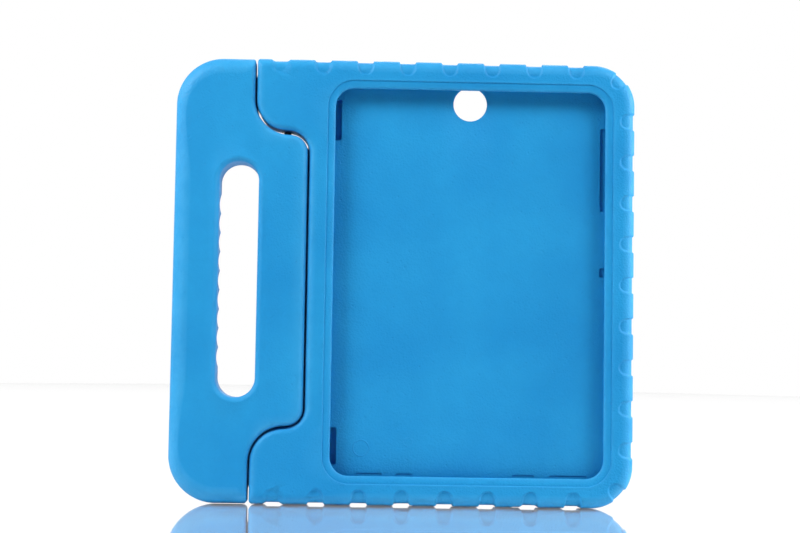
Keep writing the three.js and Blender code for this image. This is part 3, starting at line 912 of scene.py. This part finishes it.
# The rim paling attribute feeds the skin: wear, and partly a painted highlight.
foam, foam_shader = skin_material("blue_foam", foam_group(), "wear_and_highlight", FOAM_RELIEF)
foam_shader.inputs["Specular IOR Level"].default_value = 0.2
foam_shader.inputs["Sheen Weight"].default_value = 0.06
foam_shader.inputs["Sheen Roughness"].default_value = 0.4
foam_shader.inputs["Sheen Tint"].default_value = FOAM_SHEEN


def dress(mesh, material):
    """Gives a mesh one material in place of any it has."""
    mesh.materials.clear()
    mesh.materials.append(material)


case_mesh = grid_mesh("foam_case", case.rows, {"wear_and_highlight": case.wear_and_highlight})
case_piece = bpy.data.objects.new("foam_case", case_mesh)
scene.collection.objects.link(case_piece)
cut(case_piece, [
    *[tunnel_cutter(at, width) for at, width in TUNNELS],
    *side_trenches(TRENCH_LEFT, RELIEFS["left"]),
    *side_trenches(TRENCH_RIGHT, RELIEFS["right"]),
    *bottom_trenches(TRENCH_BOTTOM, RELIEFS["bottom"]),
    *bottom_trenches(TRENCH_BOTTOM, [(at - width / 2, at + width / 2) for at, width in TUNNELS]),
    seat_cutter(*EAR_SEAT),
    seat_cutter(HEIGHT - EAR_SEAT[1], HEIGHT - EAR_SEAT[0]),
])
dress(case_piece.data, foam)
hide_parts("case_body")
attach(case_piece, "case")

# Handle: a second foam moulding, a rounded grip with a long slot for the hand. Its tongue
# sits between the case's ears, and scallops for the fingers are cut into the slot's outer wall.
HANDLE_EDGES = {"left": -137.0, "right": 0.0, "bottom": 0.0, "top": HEIGHT}
HANDLE_CORNER = 28.0
HANDLE_RIM_FRONT = 9.5
HANDLE_RIM_BACK = 7.0
HANDLE_GAP_RIM_BACK = 10.0
SLOT = {"left": -110.0, "right": -86.8, "bottom": 62.3, "top": 201.7}
SLOT_CORNER = 11.5
SLOT_RIM_FRONT = 3.2
SLOT_RIM_BACK = 5.0
SCALLOP_PITCH = 11.5
SCALLOP_COUNT = 9
SCALLOP_DEPTH = 1.3
SCALLOP_PROFILE = [
    (-7.6, 0.0), (-5.9, 0.0), (-5.5, 0.12), (-5.2, 0.75), (-4.8, 1.0), (0.0, 1.0), (6.0, 1.0),
]
SLOT_MARGIN = 0.4
GRIP_SPACING = 0.95
SCALLOP_SPACING = 0.55
GRIP_BAND = 10.8
GRIP_BELLY_PLACE = 0.6
TONGUE_SEAT = (193.5, 222.5)
GRIP_BAND_STEPS = 3
GRIP_SHARES = (0.15, 0.4, 0.7, 1.0)
GRIP_TIP_POINTS = 8
SLOT_FRONT_STEPS = 7
# Paling of the slot's rims, largest halfway round them: wear, and partly a painted highlight.
SLOT_FRONT_WEAR_AND_HIGHLIGHT = 0.7
SLOT_BACK_STEPS = 8
SLOT_BACK_WEAR_AND_HIGHLIGHT = 0.6


def handle_outline():
    """Outline anticlockwise from the lower tip: gap flank, upper tip, two round corners."""
    flank = gap_flank("handle")
    left, c = HANDLE_EDGES["left"], HANDLE_CORNER
    gap_x = GAP_END - GAP / 2
    return np.concatenate([
        arc(gap_x - TIP_RADIUS, TIP_RADIUS, TIP_RADIUS, -90, 0, TIP_POINTS),
        flank[1:-1],
        arc(gap_x - TIP_RADIUS, HEIGHT - TIP_RADIUS, TIP_RADIUS, 0, 90, TIP_POINTS),
        arc(left + c, HEIGHT - c, c, 90, 180, CORNER_POINTS),
        arc(left + c, c, c, 180, 270, CORNER_POINTS),
    ])


def handle_spacing(x, z):
    """Wanted spacing: fine beside the scallops and at the tips, coarser elsewhere."""
    spacing = np.full(x.shape, GRIP_SPACING)
    half = SCALLOP_PITCH * SCALLOP_COUNT / 2 + 1
    beside = (x < HANDLE_EDGES["left"] + EDGE_ZONE) & (np.abs(z - MIDDLE) < half)
    spacing = np.where(beside, SCALLOP_SPACING, spacing)
    near_tip = (x > GAP_END - TIP_ZONE) & (np.abs(z - MIDDLE) > MIDDLE - TIP_ZONE)
    return np.where(near_tip, SPACING["tips"], spacing)


grip_paths = spaced_paths(
    handle_outline(), handle_spacing,
    lambda places: ring_round(places, SLOT, SLOT_CORNER, SLOT_RIM_FRONT + SLOT_MARGIN),
)
grip_outline = grip_paths[0]
grip_on_gap = depth_inside(*grip_outline.T, HANDLE_EDGES, HANDLE_CORNER)[0] > ON_EDGE
grip_flank = np.concatenate([
    arc(GAP_END - GAP / 2 - TIP_RADIUS, TIP_RADIUS, TIP_RADIUS, -90, 0, GRIP_TIP_POINTS),
    gap_flank("handle")[1:-1:FLANK_SKIP],
    arc(GAP_END - GAP / 2 - TIP_RADIUS, HEIGHT - TIP_RADIUS, TIP_RADIUS, 0, 90, GRIP_TIP_POINTS),
])


def handle_surface(plan, side):
    """Skin of the handle at places in plan, lowered by the outer rim's rounding or the gap rim's."""
    front, back = (HANDLE_RIM_FRONT, GAP_RIM_FRONT), (HANDLE_RIM_BACK, HANDLE_GAP_RIM_BACK)
    outer, gap = front if side == "front" else back
    inside = np.maximum(depth_inside(*plan.T, HANDLE_EDGES, HANDLE_CORNER)[0], 0)
    lost = larger(rounding(inside, outer), rounding(distance_to_line(*plan.T, grip_flank), gap))
    return stack(plan, FRONT + lost if side == "front" else BACK - lost)


def scallop_depth(plan):
    """Depth of the finger scallops: arcs side by side, whose cusps meet the slot's own wall."""
    position = (plan[:, 1] - MIDDLE) / SCALLOP_PITCH + SCALLOP_COUNT / 2
    within = (position > 0) & (position < SCALLOP_COUNT) & (plan[:, 0] < SLOT["left"] + 2)
    from_middle = np.abs(position % 1 - 0.5) * 2
    return np.where(within, SCALLOP_DEPTH * (1 - from_middle**2), 0)


grip = Shell()
grip_front_edge = handle_surface(grip_outline, "front")[:, 1]
grip_back_edge = handle_surface(grip_outline, "back")[:, 1]
for share in WALL_SHARES:
    wall = stack(grip_outline, grip_back_edge + (grip_front_edge - grip_back_edge) * share)
    grip.add(swollen(wall, grip_on_gap, GRIP_BELLY_PLACE, 0.0), WALL_WEAR_AND_HIGHLIGHT)
grip_front_steps = face_steps(
    rim_steps(grip_on_gap, HANDLE_RIM_FRONT, GAP_RIM_FRONT), GRIP_BAND, path_lengths(grip_paths)[-1],
    GRIP_BAND_STEPS, GRIP_SHARES,
)
for k, distance in enumerate(grip_front_steps):
    grip.add(handle_surface(walk(grip_paths, distance), "front"), rim_wear_and_highlight(k, RIM_STEPS + 3))
slot_core, slot_away = onto_frame(grip_paths[-1], SLOT, SLOT_CORNER)


def slot_ring(wider):
    """Ring round the slot at a distance outside its wall."""
    return slot_core + slot_away * (SLOT_CORNER + wider)


for angle in np.linspace(0, math.pi / 2, SLOT_FRONT_STEPS):
    ring = slot_ring(SLOT_RIM_FRONT * (1 - math.sin(angle)))
    y = FRONT + SLOT_RIM_FRONT * (1 - math.cos(angle))
    grip.add(stack(ring, y), SLOT_FRONT_WEAR_AND_HIGHLIGHT * math.sin(2 * angle))
slot_wall = slot_ring(0.0)
scallop = scallop_depth(slot_wall)


def scalloped(ring, share):
    """Ring moved out by a share of the scallops' depth."""
    return ring - np.stack([scallop * share, np.zeros(len(ring))], axis=1)


for y, share in SCALLOP_PROFILE:
    grip.add(stack(scalloped(slot_wall, share), y), WALL_WEAR_AND_HIGHLIGHT)
for angle in np.linspace(0, math.pi / 2, SLOT_BACK_STEPS):
    ring = scalloped(slot_ring(SLOT_RIM_BACK * (1 - math.cos(angle))), 1 - math.sin(angle))
    y = BACK - SLOT_RIM_BACK * (1 - math.sin(angle))
    grip.add(stack(ring, y), SLOT_BACK_WEAR_AND_HIGHLIGHT * math.sin(2 * angle))
grip_back_reach = reach(grip_paths, SLOT, SLOT_CORNER, SLOT_RIM_BACK + SLOT_MARGIN)
grip_back_steps = face_steps(
    rim_steps(grip_on_gap, HANDLE_RIM_BACK, HANDLE_GAP_RIM_BACK), GRIP_BAND, grip_back_reach,
    GRIP_BAND_STEPS, GRIP_SHARES,
)
for k, distance in reversed(list(enumerate(grip_back_steps))):
    grip.add(handle_surface(walk(grip_paths, distance), "back"), rim_wear_and_highlight(k, RIM_STEPS + 3))

handle_mesh = grid_mesh("foam_handle", grip.rows, {"wear_and_highlight": grip.wear_and_highlight})
handle_piece = bpy.data.objects.new("foam_handle", handle_mesh)
scene.collection.objects.link(handle_piece)
cut(handle_piece, [
    seat_cutter(*TONGUE_SEAT),
    seat_cutter(HEIGHT - TONGUE_SEAT[1], HEIGHT - TONGUE_SEAT[0]),
])
dress(handle_piece.data, foam)
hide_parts("handle")
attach(handle_piece, "handle")

# Mould marks: two thin raised rings on the pocket's floor, in the case's own foam. One lies where
# the photo shows a round moulding mark, the other where it shows a dark smudge.
MARKS = [(-23.7, 33.4, 4.7, 0.42), (4.0, 37.3, 2.6, 0.24)]
MARK_SINK = 0.12
MARK_POINTS = 72
BEAD_POINTS = 8
for number, (mark_x, mark_z, mark_radius, mark_bead) in enumerate(MARKS):
    turn = np.linspace(0, 2 * math.pi, MARK_POINTS + 1)[:-1]
    rows = []
    for angle in np.linspace(0, 2 * math.pi, BEAD_POINTS + 1)[:-1]:
        radius = mark_radius + mark_bead * math.cos(angle)
        circle = np.stack([mark_x + radius * np.cos(turn), mark_z + radius * np.sin(turn)], axis=1)
        rows.append(stack(circle, FLOOR + MARK_SINK - mark_bead * math.sin(angle)))
    mark_mesh = grid_mesh("mould_mark", rows, {"wear_and_highlight": np.zeros((len(rows), len(turn)))})
    mark = bpy.data.objects.new(f"mould_mark_{number}", mark_mesh)
    scene.collection.objects.link(mark)
    dress(mark_mesh, foam)
    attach(mark, "case")

# Hinge pins and bushes: short rods that turn in moulded black plastic sleeves. They keep the
# shapes of the CAD, and their plastic is finely grained and rubbed grey in patches.
PLASTIC_BLACK = (0.010, 0.015, 0.017, 1)
PLASTIC_RUBBED = (0.050, 0.060, 0.062, 1)
PLASTIC_RELIEF = 0.00005
RUB_SCALE = 420
GRAIN_SCALE = 3500


def plastic_group():
    """Colour, roughness and height of black plastic: fine noise grains it and patches pale it."""
    outputs = {"Color": "Color", "Roughness": "Float", "Height": "Float"}
    group, _, result = node_group("plastic_skin", {}, outputs)
    place = group.nodes.new("ShaderNodeTexCoord").outputs["Object"]
    patchy = remap(group, noise(group, place, RUB_SCALE, 5, 0.65), 0.45, 0.75)
    grain = noise(group, place, GRAIN_SCALE, 3)
    group.links.new(blend(group, patchy, PLASTIC_BLACK, PLASTIC_RUBBED), result["Color"])
    group.links.new(remap(group, patchy, 0.0, 1.0, 0.32, 0.55), result["Roughness"])
    group.links.new(grain, result["Height"])
    return group


plastic, _ = skin_material("black_plastic", plastic_group(), None, PLASTIC_RELIEF)
for name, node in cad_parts.items():
    if name not in ("case_body", "handle"):
        dress(node.data, plastic)

# Floor: glossy white sheet that mirrors the foot of the case. Its own glow shows to the camera
# and gives no light to the foam.
FLOOR_MIRROR = 0.90
FLOOR_DROP = -0.0005
FLOOR_HALF = 6
FLOOR_FAR = 60
FLOOR_GLOW = 0.95
floor_mesh = bpy.data.meshes.new("floor")
floor_corners = [(-FLOOR_HALF, -FLOOR_HALF), (FLOOR_HALF, -FLOOR_HALF)]
floor_corners += [(FLOOR_HALF, FLOOR_FAR), (-FLOOR_HALF, FLOOR_FAR)]
floor_mesh.from_pydata([(x, y, FLOOR_DROP) for x, y in floor_corners], [], [(0, 1, 2, 3)])
floor = bpy.data.objects.new("floor", floor_mesh)
scene.collection.objects.link(floor)
sheet = bpy.data.materials.new("white_sheet")
sheet.use_nodes = True
nodes, links = sheet.node_tree.nodes, sheet.node_tree.links
paper = nodes["Principled BSDF"]
paper.inputs["Base Color"].default_value = (0.86, 0.86, 0.86, 1)
paper.inputs["Roughness"].default_value = 0.6
paper.inputs["Emission Color"].default_value = (1, 1, 1, 1)
light_path = nodes.new("ShaderNodeLightPath")
glow = remap(sheet.node_tree, light_path.outputs["Diffuse Depth"], 0.0, 1.0, FLOOR_GLOW, 0.0)
links.new(glow, paper.inputs["Emission Strength"])
mirror = nodes.new("ShaderNodeBsdfGlossy")
mirror.inputs["Color"].default_value = (1, 1, 1, 1)
mirror.inputs["Roughness"].default_value = 0.04
both = nodes.new("ShaderNodeMixShader")
both.inputs["Fac"].default_value = FLOOR_MIRROR
links.new(paper.outputs[0], both.inputs[1])
links.new(mirror.outputs[0], both.inputs[2])
links.new(both.outputs[0], nodes["Material Output"].inputs["Surface"])
floor_mesh.materials.append(sheet)

# Surround: plain white to the camera and in mirror images, and nearly dark to rays that have
# bounced off the foam, so that it doesn't wash out the softboxes' shading.
AMBIENT = 0.03
world = bpy.data.worlds.new("surround")
scene.world = world
world.use_nodes = True
nodes, links = world.node_tree.nodes, world.node_tree.links
light_path = nodes.new("ShaderNodeLightPath")
strength = remap(world.node_tree, light_path.outputs["Diffuse Depth"], 0.0, 1.0, 1.0, AMBIENT)
links.new(strength, nodes["Background"].inputs["Strength"])
nodes["Background"].inputs["Color"].default_value = (1, 1, 1, 1)


# Lights: five softboxes. The one on the left is the key, the next fills from the right, two
# graze the sides, and one stands behind to light the edges.
def softbox(name, place, target, size, power):
    """Square area light at a place, turned to face a target."""
    data = bpy.data.lights.new(name, "AREA")
    data.shape = "SQUARE"
    data.size = size
    data.energy = power
    light = bpy.data.objects.new(name, data)
    light.location = place
    light.rotation_euler = (Vector(target) - Vector(place)).to_track_quat("-Z", "Y").to_euler()
    scene.collection.objects.link(light)


TARGET = (0, 0, 0.13)
SOFTBOXES = [
    ("key_left", (-0.72, -0.50, 0.84), 0.40, 9.5),
    ("fill_right", (0.68, -0.54, 0.82), 0.42, 6.6),
    ("rim_left", (-0.95, -0.02, 0.70), 0.40, 3.8),
    ("rim_right", (0.95, -0.03, 0.45), 0.40, 7.0),
    ("behind", (0.30, 1.30, 1.00), 0.80, 10.0),
]
for name, place, size, power in SOFTBOXES:
    softbox(name, place, TARGET, size, power)
